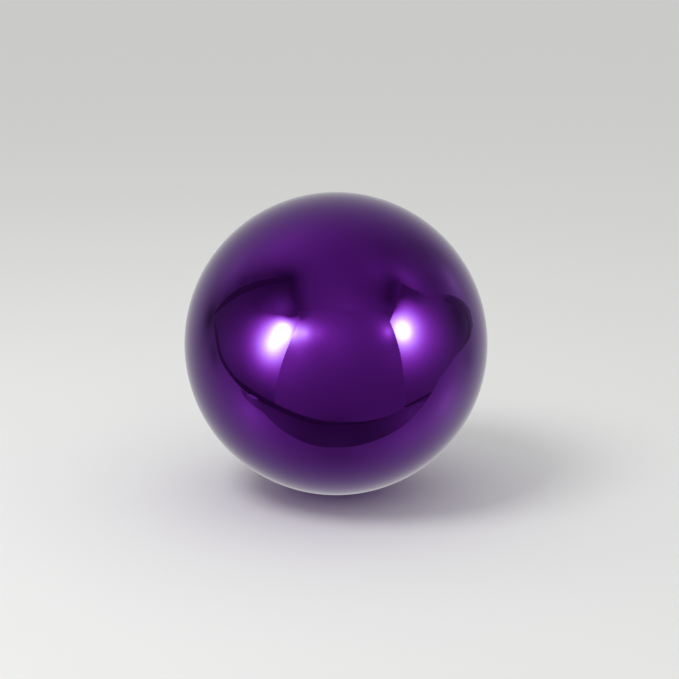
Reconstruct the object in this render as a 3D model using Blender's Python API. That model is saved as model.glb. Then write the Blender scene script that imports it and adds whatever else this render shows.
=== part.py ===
"""Mirror garden globe (gazing ball), 254 mm across, in purple-tinted stainless steel.

Two pressed half shells meet at a butt weld, which is ground flush outside and left as a low bead inside.
The rear shell has a round vent hole at its pole, closed by a push-in rubber plug.

Metres, +Z up. The origin is the centre of the ball. The shells are turned about the Y axis: the front
shell's pole is at -Y, and the vent hole and its plug are at the rear pole, +Y.
"""

import math

import bmesh
import bpy

# Driving dimensions
BALL_RADIUS = 0.127
WALL = 0.0007
WELD_WIDTH = 0.0024
WELD_BEAD_HEIGHT = 0.0006
VENT_RADIUS = 0.004
PLUG_FLANGE_RADIUS = 0.0065
PLUG_FLANGE_EDGE = 0.0005
PLUG_FLANGE_CROWN = 0.0006
PLUG_STEM_RADIUS = 0.0037
PLUG_STEM_LENGTH = 0.0090
PLUG_TIP_CHAMFER = 0.0008

# Clearance between neighbouring pieces
MESH_GAP = 0.0003

# Facets
BALL_SEGMENTS = 64
SHELL_RINGS = 16
WELD_STEPS = 4
PLUG_SEGMENTS = 32
CROWN_STEPS = 4

# Materials: linear RGB colour, metallic, roughness
TINTED_STEEL = ((0.085, 0.0065, 0.20), 1.0, 0.05)
BLACK_RUBBER = ((0.02, 0.02, 0.022), 0.0, 0.8)

FRONT = -1
REAR = 1


def clear_scene():
    for old in list(bpy.data.objects):
        bpy.data.objects.remove(old, do_unlink=True)


def principled(name, finish):
    colour, metallic, roughness = finish
    material = bpy.data.materials.new(name)
    material.use_nodes = True
    shader = material.node_tree.nodes["Principled BSDF"]
    shader.inputs["Base Color"].default_value = (*colour, 1.0)
    shader.inputs["Metallic"].default_value = metallic
    shader.inputs["Roughness"].default_value = roughness
    material.diffuse_color = (*colour, 1.0)
    return material


def sphere_height(radius, distance):
    """Height above the seam plane of the sphere of this radius, at a distance from the Y axis."""
    return math.sqrt(radius**2 - distance**2)


def ring(bm, height, distance, segments):
    """A ring of vertices about the Y axis, or a single one where it closes on the axis."""
    if distance == 0.0:
        return [bm.verts.new((0.0, height, 0.0))]
    angles = [2.0 * math.pi * k / segments for k in range(segments)]
    return [bm.verts.new((distance * math.cos(a), height, distance * math.sin(a))) for a in angles]


def bridge(bm, first, second, segments):
    """Faces between two neighbouring rings, as a fan where one of them is a single vertex."""
    for k in range(segments):
        after = (k + 1) % segments
        corners = [first[k % len(first)], first[after % len(first)]]
        corners += [second[after % len(second)], second[k % len(second)]]
        bm.faces.new(list(dict.fromkeys(corners)))


def turned(name, profile, segments, closed, finish):
    """Turn a profile of (height along Y, distance from Y) about the Y axis, into one closed body."""
    bm = bmesh.new()
    rings = [ring(bm, height, distance, segments) for height, distance in profile]
    for first, second in zip(rings, rings[1:]):
        bridge(bm, first, second, segments)
    if closed:
        bridge(bm, rings[-1], rings[0], segments)
    bmesh.ops.recalc_face_normals(bm, faces=bm.faces)
    mesh = bpy.data.meshes.new(name)
    bm.to_mesh(mesh)
    bm.free()
    mesh.shade_smooth()
    mesh.set_sharp_from_angle(angle=math.radians(30.0))
    mesh.materials.append(principled(name, finish))
    piece = bpy.data.objects.new(name, mesh)
    bpy.context.scene.collection.objects.link(piece)
    return piece


def arc_of_shell(radius, hole_radius, rim_height):
    """Points of a shell's arc from its hole, or its pole where there is none, to its rim."""
    start = math.asin(hole_radius / radius)
    end = math.acos(rim_height / radius)
    angles = [start + (end - start) * k / SHELL_RINGS for k in range(SHELL_RINGS + 1)]
    points = [(radius * math.cos(a), radius * math.sin(a)) for a in angles]
    points[0] = (sphere_height(radius, hole_radius), hole_radius)
    return points


def shell(name, side, hole_radius):
    """A pressed half shell of even wall thickness, with its pole on the given side."""
    rim_height = WELD_WIDTH / 2.0 + MESH_GAP
    outer = arc_of_shell(BALL_RADIUS, hole_radius, rim_height)
    inner = arc_of_shell(BALL_RADIUS - WALL, hole_radius, rim_height)
    profile = [(side * height, distance) for height, distance in outer + inner[::-1]]
    return turned(name, profile, BALL_SEGMENTS, hole_radius > 0.0, TINTED_STEEL)


def seam_weld():
    """The weld between the shells' rims: flush with the ball outside, a low rounded bead inside."""
    half = WELD_WIDTH / 2.0
    heights = [half - WELD_WIDTH * k / WELD_STEPS for k in range(WELD_STEPS + 1)]
    outer = [(height, sphere_height(BALL_RADIUS, height)) for height in heights]
    inner_radius = BALL_RADIUS - WALL
    inner = []
    for height in reversed(heights):
        bead = WELD_BEAD_HEIGHT * math.cos(math.pi * height / WELD_WIDTH)
        inner.append((height, sphere_height(inner_radius, height) - bead))
    return turned("seam_weld", outer + inner, BALL_SEGMENTS, True, TINTED_STEEL)


def vent_plug():
    """The push-in plug: a thin crowned flange that lies on the rear shell, and a stem in the vent hole."""
    seat = BALL_RADIUS + MESH_GAP
    edge = sphere_height(seat, PLUG_FLANGE_RADIUS)
    profile = []
    for k in range(CROWN_STEPS + 1):
        distance = PLUG_FLANGE_RADIUS * k / CROWN_STEPS
        fall = (distance / PLUG_FLANGE_RADIUS) ** 2
        top = (seat - (seat - edge) * fall) + PLUG_FLANGE_EDGE + PLUG_FLANGE_CROWN * (1.0 - fall)
        profile.append((top, distance))
    tip = BALL_RADIUS - PLUG_STEM_LENGTH
    profile += [
        (edge, PLUG_FLANGE_RADIUS),
        (sphere_height(seat, PLUG_STEM_RADIUS), PLUG_STEM_RADIUS),
        (tip + PLUG_TIP_CHAMFER, PLUG_STEM_RADIUS),
        (tip, PLUG_STEM_RADIUS - PLUG_TIP_CHAMFER),
        (tip, 0.0),
    ]
    return turned("vent_plug", profile, PLUG_SEGMENTS, False, BLACK_RUBBER)


def build():
    clear_scene()
    shell("front_shell", FRONT, 0.0)
    shell("rear_shell", REAR, VENT_RADIUS)
    seam_weld()
    vent_plug()


build()
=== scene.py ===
"""The looks of the mirror garden globe: a hollow ball of mirror-polished steel with a purple coating under a
clear lacquer, standing on a plain pale floor in a light tent.

Each piece stands for its CAD node, and is turned about the Y axis through the middle of the ball.
"""

import math

import bmesh
import bpy
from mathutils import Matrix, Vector

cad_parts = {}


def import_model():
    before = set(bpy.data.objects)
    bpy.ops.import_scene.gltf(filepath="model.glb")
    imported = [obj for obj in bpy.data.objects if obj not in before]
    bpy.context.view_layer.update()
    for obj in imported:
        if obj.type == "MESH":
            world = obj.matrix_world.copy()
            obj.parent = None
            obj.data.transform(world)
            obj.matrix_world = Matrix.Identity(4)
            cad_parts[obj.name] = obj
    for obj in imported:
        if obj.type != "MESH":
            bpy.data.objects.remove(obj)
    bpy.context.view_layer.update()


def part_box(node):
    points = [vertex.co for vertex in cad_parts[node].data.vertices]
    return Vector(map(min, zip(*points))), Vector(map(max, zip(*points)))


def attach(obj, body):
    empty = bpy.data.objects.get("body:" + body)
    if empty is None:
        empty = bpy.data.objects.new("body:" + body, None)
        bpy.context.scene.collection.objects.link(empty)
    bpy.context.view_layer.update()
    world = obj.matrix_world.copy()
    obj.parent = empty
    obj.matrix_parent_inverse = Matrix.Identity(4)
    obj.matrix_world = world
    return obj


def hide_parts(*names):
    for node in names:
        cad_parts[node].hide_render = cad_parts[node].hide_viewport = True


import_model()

# The ball, from the frame
FRONT_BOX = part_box("front_shell")
WELD_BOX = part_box("seam_weld")
PLUG_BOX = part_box("vent_plug")
BALL_RADIUS = FRONT_BOX[1].z
WELD_HALF_WIDTH = WELD_BOX[1].y
PLUG_FLANGE_RADIUS = PLUG_BOX[1].x
PLUG_TOP = PLUG_BOX[1].y
PLUG_TIP = PLUG_BOX[0].y

# Sheet, weld and vent hole
WALL = 0.0007
BEAD_HEIGHT = 0.0006
BEAD_RIPPLE = 0.00012
BEAD_RIPPLES = 320
BEAD_RIPPLE_LAG = 1.6
BEAD_FOOT_SHARE = 0.1
VENT_RADIUS = 0.004
VENT_EDGE_RADIUS = 0.0002

# Plug
STEM_RADIUS = 0.0036
RIB_HEIGHT = 0.00022
RIB_HALF_WIDTH = 0.0006
RIB_DEPTHS = (0.0032, 0.0058)
FLANGE_EDGE_RADIUS = 0.00035
FLANGE_DIMPLE_RADIUS = 0.0024
FLANGE_DIMPLE_DEPTH = 0.0004
FLANGE_SEAT_GAP = 0.0003
FLANGE_EDGE_HEIGHT = 1.44 * FLANGE_EDGE_RADIUS
FLANGE_UNDERCUT = 0.0001
STEM_FILLET = 0.0002
TIP_ROUND = 0.0009

# Mesh fineness
BALL_SEGMENTS = 192
OUTER_RINGS = 72
INNER_RINGS = 24
WELD_SEGMENTS = 1280
PLUG_SEGMENTS = 96
WELD_STEPS = 6
FLANGE_STEPS = 18
RIB_STEPS = 8
VENT_EDGE_STEPS = 4
PLUG_ROUND_STEPS = 6
SHARP_EDGE_DEGREES = 35.0

# Colours, linear RGB
PURPLE_COATING = (0.107, 0.001, 0.243)
BARE_STEEL = (0.46, 0.44, 0.42)
BLACK_RUBBER = (0.018, 0.018, 0.02)
PALE_FLOOR = (0.86, 0.86, 0.85)

# Clear lacquer, weaker than a real one, whose IOR is nearer to 1.5
COAT_WEIGHT = 0.64
COAT_ROUGHNESS = 0.03
COAT_IOR = 1.28

# Sizes of the noise in the materials, per metre
CLOUD_SCALE = 14.0
SMUDGE_SCALE = 22.0
WAVE_SCALE = 26.0
STAIN_SCALE = 35.0
BLOOM_SCALE = 260.0
GRAIN_SCALE = 5000.0
DRAWING_RING_SCALE = (30.0, 900.0, 30.0)

# Sockets of a Mix node that mixes colours
MIX_FACTOR = 0
MIX_FIRST = 6
MIX_SECOND = 7
MIX_RESULT = 2

# Camera
CAMERA_ELEVATION = 14.0
LENS = 85.0
SENSOR = 36.0
BALL_SHARE_OF_FRAME = 0.4466
AIM_RIGHT = 0.0029
AIM_UP = 0.0033

# Floor, sky and key light
FLOOR_HALF_SIZE = 30.0
FLOOR_ROUGHNESS = 0.9
SKY_AT_HORIZON = 0.58
SKY_OVERHEAD = 0.72
SKY_OVERHEAD_FROM = 0.8
KEY_AZIMUTH = -40.0
KEY_ELEVATION = 45.0
KEY_DISTANCE = 1.6
KEY_SIZE = 0.7
KEY_POWER = 9.0

# Tent: a layer lies nearer to the ball by this share of the tent's radius for each step
TENT_RADIUS = 12.0
LAYER_STEP = 0.02
LINING_LAYER = 0
FRONT_LAYER = 1
FLOOR_LAYER = 3
WING_LAYER = 4
SEAM_LAYER = 5
CLIP_LAYER = 6
RIBBON_TAPER = 0.3
SHEET_CUTS = 5
RIBBON_CUTS = 3

# Light of the cloth, the extra green of its brightest light, and the softness of a lamp's edge
LINING_LIGHT = 0.45
FRONT_LIGHT = 0.36
# The floor cloth's low light is painted shade: the tent's floor in shadow in front of the ball.
SHADED_FLOOR_LIGHT = 0.115
LEFT_LIGHT = 0.16
RIGHT_LIGHT = 0.26
DARKEST_CLOTH = 0.1
FILM_WHITENING = 0.78
FILM_WHITENING_POWER = 2.1
LAMP_EDGE = 0.6

# Glows as (azimuth, elevation, strength, spread) and outlines as (azimuth, elevation), in degrees
LINING_GLOWS = [
    (180, 0, 0.12, 30),
    (-92, 62, 0.30, 14),
    (85, 60, -0.14, 10),
    (20, 62, -0.06, 12),
    (-112, 11, -0.36, 6),
    (-112, 36, 0.12, 6),
    (-103, -5, -0.20, 4),
    (-100, 22, -0.20, 4),
    (-91, 32, -0.25, 5),
    (-80, 38, -0.22, 5),
    (-70, 43, -0.16, 5),
    (-58, 46, -0.22, 5),
    (-45, 45, -0.30, 5),
    (-38, 37, -0.20, 4.5),
    (-32, 30, -0.18, 4),
    (-28, 23, -0.16, 3),
    (51, 39, -0.22, 5),
    (60, 41, -0.16, 3),
    (44, 30, -0.22, 5),
    (68, 43, 0.28, 4),
    (74, 37, 0.20, 4),
    (43, 51, 0.12, 5),
    (25, 37, -0.09, 8),
    (95, 30, -0.10, 8),
    (118, 25, 0.28, 4),
    (118, -5, -0.15, 6),
    (124, -25, 0.16, 8),
    (128, 33, -0.10, 6),
    (118, 45, -0.12, 8),
    (8, 20, 0.24, 11),
    (107, -27, 0.40, 6.5),
    (102, -50, 0.22, 9),
    (-87, -38, 0.42, 7),
    (-105, -42, 0.15, 12),
    (0, -90, -0.13, 12),
]
FRONT_SHEET = [
    (-42, 21),
    (-20, 23.5),
    (20, 23.5),
    (47, 21),
    (68, -40),
    (36, -60),
    (0, -62),
    (-28, -58),
    (-60, -42),
]
FRONT_TONES = [
    (-3, 6, 0.50, 12),
    (-42, -13, 0.6, 9),
    (-27, -6, 0.4, 6),
    (36, 12, 0.40, 7),
    (40, 22, -0.30, 4),
    (46, -8, 0.20, 7),
    (0, -66, -0.16, 8),
]
FRONT_LAMPS = [
    (-33, 8, 8.0, 4),
    (-23, 7.5, 3.6, 3.5),
    (-12, 8, 0.7, 4),
    (39, 8, 2.2, 3),
    (-28, 20, -1.8, 3),
]
# Outline of the floor cloth, a dim sheet of painted shade where the tent's floor lies in shadow in front of
# the ball
SHADED_FLOOR_CLOTH = [
    (-84, -25),
    (-58, -41),
    (-45, -49),
    (-28, -55),
    (-8, -58.5),
    (15, -59),
    (36, -56.5),
    (50, -52),
    (62, -45.5),
    (68, -40),
    (86, -27),
    (84, -38),
    (82, -51),
    (72, -68),
    (38, -81),
    (0, -82.5),
    (-40, -81),
    (-66, -72),
    (-73, -56),
    (-75, -42),
    (-84, -31),
]
FLOOR_GLOWS = [
    (-74, -50, 0.17, 11),
    (-81, -33, 0.3, 4),
    (74, -48, 0.15, 9),
    (80, -40, 0.2, 5),
    (0, -80, 0.05, 6),
]
LEFT_WING = [
    (-107, 13),
    (-54, 45),
    (-27, 18),
    (-30, 9),
    (-35, -2),
    (-59, -41),
    (-80, -25.5),
    (-95, -8),
]
LEFT_TONES = [
    (-43, 22, 0.60, 6),
    (-57, 18, 0.28, 6),
    (-82, -2, 0.24, 10),
    (-46, -32, 0.16, 5),
]
LEFT_LAMPS = [
    (-39, 9, 14.0, 5),
    (-47.5, -1.5, 8.3, 7),
    (-45, 24, -3.6, 5),
    (-36, 20, -4.0, 4),
    (-60, 22, -0.6, 5),
]
RIGHT_WING = [
    (41, 15),
    (62, 39),
    (69, 34),
    (80, 27.5),
    (90, 26),
    (102, 23.5),
    (112, 20),
    (121, 15.5),
    (127, 11),
    (126, 6),
    (114, 0),
    (100, -6),
    (88, -18),
    (86, -27),
    (67, -40),
    (53, -20),
    (50.5, -11),
    (47, -3),
]
RIGHT_TONES = [
    (68, 6, 0.35, 12),
    (81, 3, 0.20, 7),
    (106, 13, -0.16, 8),
]
RIGHT_LAMPS = [
    (50, 9, 9.8, 7.5),
    (50.5, 8, 5.5, 3),
    (44, 25, -3.4, 3.5),
    (53, 35, -1.5, 4.5),
    (67, 30, -0.7, 6),
]

# Seams, poles and clips: corners of their path, as (azimuth, elevation)
LEFT_TOP_SEAM = [(-107, 13), (-93, 24.5), (-82, 31.5), (-71, 37), (-60, 41), (-50, 43), (-44, 43)]
LEFT_EDGE_SEAM = [(-107, 13), (-100, 4), (-95, -7), (-88, -16), (-80, -25)]
LEFT_SEAM = [
    (-89, -15.5),
    (-79, -25.5),
    (-70, -33),
    (-59, -41),
    (-47, -49),
    (-30, -56.5),
    (-15, -60.5),
    (-4, -61.5),
]
FRONT_SEAM = [(-12, -60.5), (0, -60.8), (15, -60.3), (36, -57.5), (50, -53)]
RIGHT_SEAM = [(96, 22), (107, 18.5), (115, 14), (121, 9), (119, 4), (112, 0)]
RIGHT_POLE = [(66, -40.5), (70, -38.5), (77, -33.5), (86, -26.5)]
LEFT_CLIP = [(-79.5, -29), (-75.5, -31.7), (-71.5, -34)]
RIGHT_CLIP = [(79, -37), (84, -34)]

# Each ribbon of the tent: name, path, width in degrees, layer, light
RIBBONS = [
    ("left_top_seam", LEFT_TOP_SEAM, 5.0, SEAM_LAYER, 0.12),
    ("left_edge_seam", LEFT_EDGE_SEAM, 3.0, SEAM_LAYER, 0.15),
    ("left_seam", LEFT_SEAM, 4.4, SEAM_LAYER, 0.11),
    ("front_seam", FRONT_SEAM, 2.0, SEAM_LAYER, 0.10),
    ("right_seam", RIGHT_SEAM, 4.0, SEAM_LAYER, 0.17),
    ("right_pole", RIGHT_POLE, 2.2, SEAM_LAYER, 0.12),
    ("left_clip", LEFT_CLIP, 1.8, CLIP_LAYER, 0.9),
    ("right_clip", RIGHT_CLIP, 1.6, CLIP_LAYER, 0.65),
]


# Meshes


def ring(bm, height, distance, segments):
    """A ring of vertices about the Y axis, or a single one where it closes on the axis."""
    if distance == 0.0:
        return [bm.verts.new((0.0, height, 0.0))]
    angles = [2.0 * math.pi * k / segments for k in range(segments)]
    return [bm.verts.new((distance * math.cos(a), height, distance * math.sin(a))) for a in angles]


def bridge(bm, first, second, segments, slot):
    """Faces between two neighbouring rings, as a fan where one of them is a single vertex."""
    for k in range(segments):
        after = (k + 1) % segments
        corners = [first[k % len(first)], first[after % len(first)]]
        corners += [second[after % len(second)], second[k % len(second)]]
        bm.faces.new(list(dict.fromkeys(corners))).material_index = slot


def turned(name, stretches, segments, closed, materials, ripple=None):
    """Turn a profile about the Y axis. A stretch is (material slot, [(height, distance), ...])."""
    bm = bmesh.new()
    rings = []
    for slot, points in stretches:
        rings += [(slot, ring(bm, height, distance, segments)) for height, distance in points]
    for (_, first), (slot, second) in zip(rings, rings[1:]):
        bridge(bm, first, second, segments, slot)
    if closed:
        bridge(bm, rings[-1][1], rings[0][1], segments, rings[-1][0])
    if ripple:
        ripple(bm)
    bmesh.ops.recalc_face_normals(bm, faces=bm.faces)
    mesh = bpy.data.meshes.new(name)
    bm.to_mesh(mesh)
    bm.free()
    for material in materials:
        mesh.materials.append(material)
    mesh.shade_smooth()
    mesh.set_sharp_from_angle(angle=math.radians(SHARP_EDGE_DEGREES))
    piece = bpy.data.objects.new(name, mesh)
    bpy.context.scene.collection.objects.link(piece)
    return piece


def round_normals(piece, radius, wall):
    """Give the faces on the ball's inner and outer sphere the exact normals of a sphere."""
    mesh = piece.data
    tolerance = wall / 4.0
    flat = [Vector(normal.vector) for normal in mesh.corner_normals]
    for face in mesh.polygons:
        reach = [mesh.vertices[v].co.length for v in face.vertices]
        outer = all(abs(r - radius) < tolerance for r in reach)
        inner = all(abs(r - radius + wall) < tolerance for r in reach)
        if not outer and not inner:
            continue
        for corner in face.loop_indices:
            out = mesh.vertices[mesh.loops[corner].vertex_index].co.normalized()
            flat[corner] = out if outer else -out
    mesh.normals_split_custom_set(flat)


def sphere_height(radius, distance):
    """Height above the seam plane of the sphere of this radius, at a distance from the Y axis."""
    return math.sqrt(radius**2 - distance**2)


def sphere_arc(radius, start_distance, end_height, steps):
    """Points along a sphere, from a distance off the Y axis to a height above the seam plane."""
    start = math.asin(start_distance / radius)
    end = math.acos(end_height / radius)
    angles = [start + (end - start) * k / steps for k in range(steps + 1)]
    return [(radius * math.cos(a), max(0.0, radius * math.sin(a))) for a in angles]


def edge_round(centre, radius, start, end, steps):
    """Points along a small round edge in the profile, between two angles in degrees."""
    angles = [math.radians(start + (end - start) * k / steps) for k in range(steps + 1)]
    return [(centre[0] + radius * math.sin(a), centre[1] + radius * math.cos(a)) for a in angles]


# Pieces


def front_shell(coating, bare):
    """The pressed half shell that faces the viewer."""
    outer = sphere_arc(BALL_RADIUS, 0.0, WELD_HALF_WIDTH, OUTER_RINGS)
    inner = sphere_arc(BALL_RADIUS - WALL, 0.0, WELD_HALF_WIDTH, INNER_RINGS)
    outer = [(-height, distance) for height, distance in outer]
    inner = [(-height, distance) for height, distance in reversed(inner)]
    piece = turned("front_shell_skin", [(0, outer), (1, inner)], BALL_SEGMENTS, False, [coating, bare])
    round_normals(piece, BALL_RADIUS, WALL)
    return piece


def rear_shell(coating, bare):
    """The half shell with the vent hole, whose drilled edge is rounded and bare."""
    hole = VENT_RADIUS + VENT_EDGE_RADIUS
    outer = sphere_arc(BALL_RADIUS, hole, WELD_HALF_WIDTH, OUTER_RINGS)
    inner = sphere_arc(BALL_RADIUS - WALL, VENT_RADIUS, WELD_HALF_WIDTH, INNER_RINGS)
    centre = (sphere_height(BALL_RADIUS, hole) - VENT_EDGE_RADIUS, hole)
    edge = edge_round(centre, VENT_EDGE_RADIUS, 180.0, 90.0, VENT_EDGE_STEPS)
    stretches = [(1, edge[:-1]), (0, outer), (1, inner[::-1])]
    piece = turned("rear_shell_skin", stretches, BALL_SEGMENTS, True, [coating, bare])
    round_normals(piece, BALL_RADIUS, WALL)
    return piece


def bead_ripple(bm):
    """The chevrons that the torch leaves along the inner bead, one for each dip of the filler."""
    inner = BALL_RADIUS - WALL
    for vertex in bm.verts:
        radius = vertex.co.length
        if radius > inner - BEAD_HEIGHT * BEAD_FOOT_SHARE:
            continue
        angle = math.atan2(vertex.co.z, vertex.co.x)
        lag = BEAD_RIPPLE_LAG * (vertex.co.y / WELD_HALF_WIDTH) ** 2
        depth = BEAD_RIPPLE * (inner - radius) / BEAD_HEIGHT
        vertex.co *= 1.0 + depth * math.cos(BEAD_RIPPLES * angle + lag) / radius


def seam_weld(coating, bare):
    """The weld: ground flush and polished with the ball outside, a rippled bead inside."""
    heights = [WELD_HALF_WIDTH * (1.0 - 2.0 * k / WELD_STEPS) for k in range(WELD_STEPS + 1)]
    outer = [(height, sphere_height(BALL_RADIUS, height)) for height in heights]
    inner = []
    for height in reversed(heights):
        bead = BEAD_HEIGHT * math.cos(0.5 * math.pi * height / WELD_HALF_WIDTH)
        inner.append((height, sphere_height(BALL_RADIUS - WALL, height) - bead))
    stretches = [(0, outer), (1, inner)]
    piece = turned("seam_weld_ring", stretches, WELD_SEGMENTS, True, [coating, bare], bead_ripple)
    round_normals(piece, BALL_RADIUS, WALL / 4.0)
    return piece


def flange_top(edge_top):
    """The plug's crowned flange, with the shallow round dimple that its mould leaves in the middle."""
    points = []
    reach = PLUG_FLANGE_RADIUS - FLANGE_EDGE_RADIUS
    for k in range(FLANGE_STEPS + 1):
        distance = reach * k / FLANGE_STEPS
        crown = (PLUG_TOP - edge_top) * (1.0 - (distance / reach) ** 2)
        dimple = FLANGE_DIMPLE_DEPTH / (1.0 + (distance / FLANGE_DIMPLE_RADIUS) ** 8)
        points.append((edge_top + crown - dimple, distance))
    return points


def stem_rib(depth):
    """One of the low round ribs that grip the hole's edge."""
    points = []
    for k in range(RIB_STEPS + 1):
        along = 1.0 - 2.0 * k / RIB_STEPS
        rise = RIB_HEIGHT * math.cos(0.5 * math.pi * along)
        points.append((BALL_RADIUS - depth + RIB_HALF_WIDTH * along, STEM_RADIUS + rise))
    return points


def vent_plug(rubber):
    """The push-in rubber plug: a thin flange over the hole's edge and a ribbed stem inside."""
    seat = BALL_RADIUS + FLANGE_SEAT_GAP
    under_edge = sphere_height(seat, PLUG_FLANGE_RADIUS)
    edge_top = under_edge + FLANGE_EDGE_HEIGHT
    top = flange_top(edge_top)
    centre = (edge_top - FLANGE_EDGE_RADIUS, PLUG_FLANGE_RADIUS - FLANGE_EDGE_RADIUS)
    rim = edge_round(centre, FLANGE_EDGE_RADIUS, 90.0, 0.0, PLUG_ROUND_STEPS)[1:]
    fillet_radius = STEM_RADIUS + STEM_FILLET
    under = [
        (under_edge, PLUG_FLANGE_RADIUS - FLANGE_UNDERCUT),
        (sphere_height(seat, fillet_radius), fillet_radius),
        (sphere_height(seat, STEM_RADIUS) - STEM_FILLET, STEM_RADIUS),
    ]
    stem = []
    for depth in RIB_DEPTHS:
        stem += stem_rib(depth)
    tip_centre = (PLUG_TIP + TIP_ROUND, STEM_RADIUS - TIP_ROUND)
    tip = edge_round(tip_centre, TIP_ROUND, 0.0, -90.0, PLUG_ROUND_STEPS) + [(PLUG_TIP, 0.0)]
    stretches = [(0, top + rim + under + stem + tip)]
    return turned("vent_plug_rubber", stretches, PLUG_SEGMENTS, False, [rubber])


# Materials


def new_material(name):
    material = bpy.data.materials.new(name)
    material.use_nodes = True
    return material, material.node_tree, material.node_tree.nodes["Principled BSDF"]


def add(tree, kind, **settings):
    """A node of this kind; settings name its properties or its inputs."""
    node = tree.nodes.new(kind)
    for key, value in settings.items():
        if hasattr(node, key):
            setattr(node, key, value)
        else:
            node.inputs[key.replace("_", " ")].default_value = value
    return node


def object_noise(tree, scale, detail, roughness=0.5):
    """Noise in the piece's own coordinates, in metres."""
    coordinates = add(tree, "ShaderNodeTexCoord")
    noise = add(tree, "ShaderNodeTexNoise", Scale=scale, Detail=detail, Roughness=roughness)
    tree.links.new(coordinates.outputs["Object"], noise.inputs["Vector"])
    return noise.outputs["Fac"]


def map_range(tree, source, from_min, from_max, to_min, to_max):
    node = add(tree, "ShaderNodeMapRange")
    tree.links.new(source, node.inputs["Value"])
    node.inputs["From Min"].default_value = from_min
    node.inputs["From Max"].default_value = from_max
    node.inputs["To Min"].default_value = to_min
    node.inputs["To Max"].default_value = to_max
    return node.outputs["Result"]


def mix_colours(tree, factor, first, second):
    node = add(tree, "ShaderNodeMix", data_type="RGBA")
    tree.links.new(factor, node.inputs[MIX_FACTOR])
    node.inputs[MIX_FIRST].default_value = (*first, 1.0)
    node.inputs[MIX_SECOND].default_value = (*second, 1.0)
    return node.outputs[MIX_RESULT]


def bump(tree, shader, height, distance):
    """Relief on the shader's surface, of this distance in metres."""
    node = add(tree, "ShaderNodeBump")
    node.inputs["Distance"].default_value = distance
    node.inputs["Strength"].default_value = 1.0
    tree.links.new(height, node.inputs["Height"])
    tree.links.new(node.outputs["Normal"], shader.inputs["Normal"])


def coated_mirror(name, tone, waviness, polish, haze):
    """Mirror-polished steel, purple coating and clear lacquer, with faint waves and wipe marks."""
    material, tree, shader = new_material(name)
    shader.inputs["Metallic"].default_value = 1.0
    shader.inputs["Coat Weight"].default_value = COAT_WEIGHT
    shader.inputs["Coat Roughness"].default_value = COAT_ROUGHNESS
    shader.inputs["Coat IOR"].default_value = COAT_IOR
    cloud = object_noise(tree, CLOUD_SCALE, 2.0)
    lighter = tuple(1.06 * tone * c for c in PURPLE_COATING)
    darker = tuple(0.94 * tone * c for c in PURPLE_COATING)
    tree.links.new(mix_colours(tree, cloud, darker, lighter), shader.inputs["Base Color"])
    smudge = object_noise(tree, SMUDGE_SCALE, 5.0, 0.6)
    roughness = map_range(tree, smudge, 0.45, 0.8, polish, polish + haze)
    tree.links.new(roughness, shader.inputs["Roughness"])
    waves = object_noise(tree, WAVE_SCALE, 1.5)
    bump(tree, shader, waves, waviness)
    return material


def bare_steel(name):
    """The inside of the shells: dull pressed steel with the drawing tool's rings round the axis."""
    material, tree, shader = new_material(name)
    shader.inputs["Metallic"].default_value = 1.0
    coordinates = add(tree, "ShaderNodeTexCoord")
    stretch = add(tree, "ShaderNodeMapping")
    stretch.inputs["Scale"].default_value = DRAWING_RING_SCALE
    tree.links.new(coordinates.outputs["Object"], stretch.inputs["Vector"])
    rings = add(tree, "ShaderNodeTexNoise", Scale=1.0, Detail=3.0)
    tree.links.new(stretch.outputs["Vector"], rings.inputs["Vector"])
    stain = object_noise(tree, STAIN_SCALE, 4.0)
    darker = tuple(0.7 * c for c in BARE_STEEL)
    tree.links.new(mix_colours(tree, stain, darker, BARE_STEEL), shader.inputs["Base Color"])
    roughness = map_range(tree, rings.outputs["Fac"], 0.3, 0.7, 0.28, 0.45)
    tree.links.new(roughness, shader.inputs["Roughness"])
    bump(tree, shader, rings.outputs["Fac"], 0.00003)
    return material


def plug_rubber(name):
    """Moulded black rubber, a little greyed by bloom, with a fine matte grain."""
    material, tree, shader = new_material(name)
    shader.inputs["Specular IOR Level"].default_value = 0.2
    bloom = object_noise(tree, BLOOM_SCALE, 4.0)
    greyed = tuple(2.4 * c for c in BLACK_RUBBER)
    mottle = map_range(tree, bloom, 0.4, 0.75, 0.0, 1.0)
    tree.links.new(mix_colours(tree, mottle, BLACK_RUBBER, greyed), shader.inputs["Base Color"])
    roughness = map_range(tree, bloom, 0.3, 0.7, 0.5, 0.72)
    tree.links.new(roughness, shader.inputs["Roughness"])
    grain = object_noise(tree, GRAIN_SCALE, 2.0)
    bump(tree, shader, grain, 0.00002)
    return material


# Stage


def toward(azimuth, elevation):
    """Unit vector from the ball: azimuth to the viewer's right of the camera, elevation above it."""
    a, e, tilt = (math.radians(v) for v in (azimuth, elevation, CAMERA_ELEVATION))
    right = math.sin(a) * math.cos(e)
    ahead = math.cos(a) * math.cos(e)
    up = math.sin(e)
    back = up * math.sin(tilt) - ahead * math.cos(tilt)
    return Vector((right, back, ahead * math.sin(tilt) + up * math.cos(tilt)))


def maths(tree, operation, *terms):
    """A maths node; each term is a number or another node's output."""
    node = add(tree, "ShaderNodeMath", operation=operation)
    for socket, term in zip(node.inputs, terms):
        if isinstance(term, bpy.types.NodeSocket):
            tree.links.new(term, socket)
        else:
            socket.default_value = term
    return node.outputs["Value"]


def glow(tree, direction, azimuth, elevation, strength, spread):
    """A bell of light round a direction, or of shade where the strength is below zero."""
    dot = add(tree, "ShaderNodeVectorMath", operation="DOT_PRODUCT")
    tree.links.new(direction, dot.inputs[0])
    dot.inputs[1].default_value = toward(azimuth, elevation)
    steep = 2.0 / math.radians(spread) ** 2
    root = maths(tree, "SQRT", maths(tree, "MULTIPLY_ADD", dot.outputs["Value"], -steep, 1.0 + steep))
    return maths(tree, "MULTIPLY", maths(tree, "EXPONENT", maths(tree, "SUBTRACT", 1.0, root)), strength)


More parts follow.
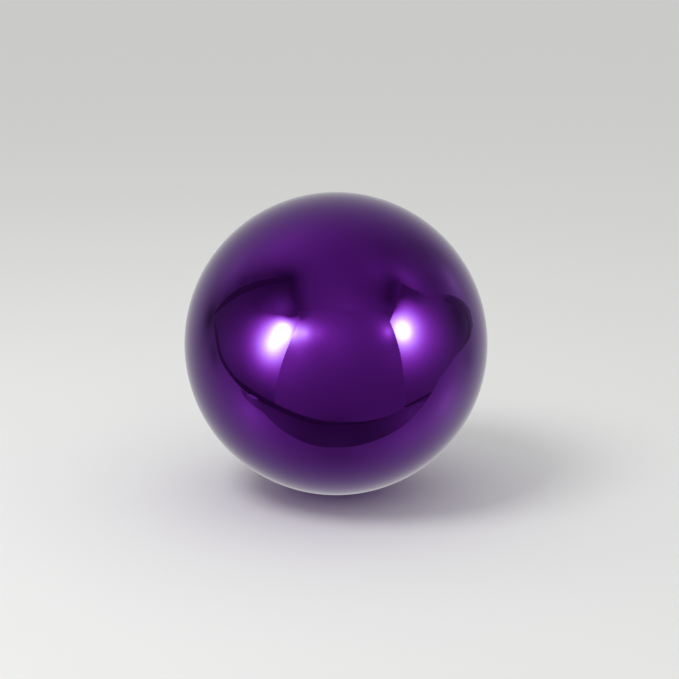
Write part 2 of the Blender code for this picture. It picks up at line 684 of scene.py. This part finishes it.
def glows_sum(tree, direction, start, glows):
    """The light in this direction of all these glows together, above a start value."""
    total = start
    for settings in glows:
        total = maths(tree, "ADD", total, glow(tree, direction, *settings))
    return total


def tent_cloth(name, base, tones, lamps):
    """Cloth lit from behind: an even base with tones on it, and lamps with what shades them.

    The brightest light has extra green, which stands for overexposure: the coating swallows green, and would
    otherwise turn the lamps violet. Light that has met a matt surface goes without it.
    """
    material = bpy.data.materials.new(name)
    material.use_nodes = True
    tree = material.node_tree
    tree.nodes.clear()
    point = add(tree, "ShaderNodeNewGeometry")
    direction = add(tree, "ShaderNodeVectorMath", operation="NORMALIZE")
    tree.links.new(point.outputs["Position"], direction.inputs[0])
    light = glows_sum(tree, direction.outputs["Vector"], base, tones)
    if lamps:
        lamp = glows_sum(tree, direction.outputs["Vector"], 0.0, lamps)
        cut = maths(tree, "SMOOTH_MAX", lamp, 0.0, LAMP_EDGE)
        light = maths(tree, "ADD", light, maths(tree, "SUBTRACT", cut, LAMP_EDGE / 6.0))
    light = maths(tree, "MAXIMUM", light, DARKEST_CLOTH)
    excess = maths(tree, "MAXIMUM", maths(tree, "SUBTRACT", light, 1.0), 0.0)
    path = add(tree, "ShaderNodeLightPath")
    direct = maths(tree, "LESS_THAN", path.outputs["Diffuse Depth"], 0.5)
    whitening = maths(tree, "MULTIPLY", direct, FILM_WHITENING)
    growth = maths(tree, "POWER", excess, FILM_WHITENING_POWER)
    whitened = maths(tree, "MULTIPLY_ADD", growth, whitening, light)
    colour = add(tree, "ShaderNodeCombineColor")
    tree.links.new(light, colour.inputs["Red"])
    tree.links.new(whitened, colour.inputs["Green"])
    tree.links.new(light, colour.inputs["Blue"])
    emission = add(tree, "ShaderNodeEmission")
    tree.links.new(colour.outputs["Color"], emission.inputs["Color"])
    output = add(tree, "ShaderNodeOutputMaterial")
    tree.links.new(emission.outputs["Emission"], output.inputs["Surface"])
    return material


def tent_part(name, bm, layer, base, tones=(), lamps=()):
    """A part of the tent at its layer's distance; it shows in shiny surfaces and nowhere else."""
    for vertex in bm.verts:
        vertex.co = vertex.co.normalized() * TENT_RADIUS * (1.0 - LAYER_STEP * layer)
    mesh = bpy.data.meshes.new(name)
    bm.to_mesh(mesh)
    bm.free()
    mesh.materials.append(tent_cloth(name, base, tones, lamps))
    obj = bpy.data.objects.new(name, mesh)
    bpy.context.scene.collection.objects.link(obj)
    obj.visible_camera = False
    obj.visible_diffuse = False
    obj.visible_transmission = False
    obj.visible_shadow = False


def sheet(name, outline, layer, base, tones, lamps=()):
    """A sheet of cloth with its corners in these directions from the ball."""
    bm = bmesh.new()
    bm.faces.new([bm.verts.new(toward(*corner)) for corner in outline])
    bmesh.ops.triangulate(bm, faces=bm.faces)
    bmesh.ops.subdivide_edges(bm, edges=bm.edges, cuts=SHEET_CUTS, use_grid_fill=True)
    tent_part(name, bm, layer, base, tones, lamps)


def ribbon(name, path, width, layer, base):
    """A seam or pole along a path of directions, with a width in degrees, that tapers at both ends."""
    bm = bmesh.new()
    points = [toward(*corner) for corner in path]
    sides = []
    for k, point in enumerate(points):
        ahead = points[min(k + 1, len(points) - 1)] - points[max(k - 1, 0)]
        across = point.cross(ahead).normalized() * math.radians(width) / 2.0
        if k in (0, len(points) - 1):
            across *= RIBBON_TAPER
        sides.append((bm.verts.new(point + across), bm.verts.new(point - across)))
    for (a, b), (c, d) in zip(sides, sides[1:]):
        bm.faces.new((a, b, d, c))
    bmesh.ops.subdivide_edges(bm, edges=bm.edges, cuts=RIBBON_CUTS, use_grid_fill=True)
    tent_part(name, bm, layer, base)


def tent():
    """The light tent round the ball: its lining, the lit sheets at the sides and the front, a dim floor
    cloth of painted shade, and seams.
    """
    bm = bmesh.new()
    bmesh.ops.create_uvsphere(bm, u_segments=64, v_segments=32, radius=TENT_RADIUS)
    tent_part("tent_lining", bm, LINING_LAYER, LINING_LIGHT, LINING_GLOWS)
    sheet("front_sheet", FRONT_SHEET, FRONT_LAYER, FRONT_LIGHT, FRONT_TONES, FRONT_LAMPS)
    # The floor cloth: painted shade, the tent's floor in shadow in front of the ball
    sheet("shaded_floor_cloth", SHADED_FLOOR_CLOTH, FLOOR_LAYER, SHADED_FLOOR_LIGHT, FLOOR_GLOWS)
    sheet("left_wing", LEFT_WING, WING_LAYER, LEFT_LIGHT, LEFT_TONES, LEFT_LAMPS)
    sheet("right_wing", RIGHT_WING, WING_LAYER, RIGHT_LIGHT, RIGHT_TONES, RIGHT_LAMPS)
    for settings in RIBBONS:
        ribbon(*settings)


def floor():
    """The plain pale floor under the ball."""
    mesh = bpy.data.meshes.new("floor")
    size = FLOOR_HALF_SIZE
    height = -BALL_RADIUS
    corners = [(-size, -size, height), (size, -size, height), (size, size, height), (-size, size, height)]
    mesh.from_pydata(corners, [], [[0, 1, 2, 3]])
    material, _, shader = new_material("floor")
    shader.inputs["Base Color"].default_value = (*PALE_FLOOR, 1.0)
    shader.inputs["Roughness"].default_value = FLOOR_ROUGHNESS
    shader.inputs["Specular IOR Level"].default_value = 0.0
    mesh.materials.append(material)
    obj = bpy.data.objects.new("floor", mesh)
    bpy.context.scene.collection.objects.link(obj)
    obj.visible_glossy = False


def world():
    """Even pale light from all round, a little stronger from above."""
    sky = bpy.data.worlds.new("studio")
    bpy.context.scene.world = sky
    sky.use_nodes = True
    tree = sky.node_tree
    background = tree.nodes["Background"]
    coordinates = add(tree, "ShaderNodeTexCoord")
    split = add(tree, "ShaderNodeSeparateXYZ")
    tree.links.new(coordinates.outputs["Generated"], split.inputs["Vector"])
    strength = map_range(tree, split.outputs["Z"], 0.0, SKY_OVERHEAD_FROM, SKY_AT_HORIZON, SKY_OVERHEAD)
    tree.links.new(strength, background.inputs["Strength"])
    background.inputs["Color"].default_value = (1.0, 1.0, 1.0, 1.0)


def soft_light(name, azimuth, elevation, distance, size, power):
    """An area light that faces the ball and isn't seen in it."""
    data = bpy.data.lights.new(name, "AREA")
    data.shape = "DISK"
    data.size = size
    data.energy = power
    lamp = bpy.data.objects.new(name, data)
    bpy.context.scene.collection.objects.link(lamp)
    lamp.location = toward(azimuth, elevation) * distance
    lamp.rotation_mode = "QUATERNION"
    lamp.rotation_quaternion = (-lamp.location).to_track_quat("-Z", "Y")
    lamp.visible_glossy = False


def camera():
    """Looks down on the ball at the angle from which a person sees a ball lying on a lawn."""
    half_view = math.atan(0.5 * SENSOR / LENS)
    distance = BALL_RADIUS / math.sin(math.atan(BALL_SHARE_OF_FRAME * math.tan(half_view)))
    data = bpy.data.cameras.new("camera")
    data.lens = LENS
    data.sensor_width = SENSOR
    obj = bpy.data.objects.new("camera", data)
    bpy.context.scene.collection.objects.link(obj)
    back = toward(0.0, 0.0)
    obj.rotation_mode = "QUATERNION"
    obj.rotation_quaternion = (-back).to_track_quat("-Z", "Y")
    aside = Vector((AIM_RIGHT, 0.0, 0.0))
    obj.location = back * distance + aside + toward(0.0, 90.0) * AIM_UP
    bpy.context.scene.camera = obj


def place(piece, node, body):
    """Put the piece in its CAD node's stead, on its body."""
    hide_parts(node)
    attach(piece, body)


def build():
    coating = coated_mirror("purple_mirror", 1.0, 0.00002, 0.03, 0.03)
    seam_coating = coated_mirror("purple_mirror_seam", 0.85, 0.00005, 0.08, 0.06)
    bare = bare_steel("bare_steel")
    rubber = plug_rubber("black_rubber")
    place(front_shell(coating, bare), "front_shell", "ball")
    place(rear_shell(coating, bare), "rear_shell", "ball")
    place(seam_weld(seam_coating, bare), "seam_weld", "ball")
    place(vent_plug(rubber), "vent_plug", "plug")
    floor()
    world()
    tent()
    soft_light("key", KEY_AZIMUTH, KEY_ELEVATION, KEY_DISTANCE, KEY_SIZE, KEY_POWER)
    camera()
    bpy.context.scene.view_settings.view_transform = "Standard"


build()
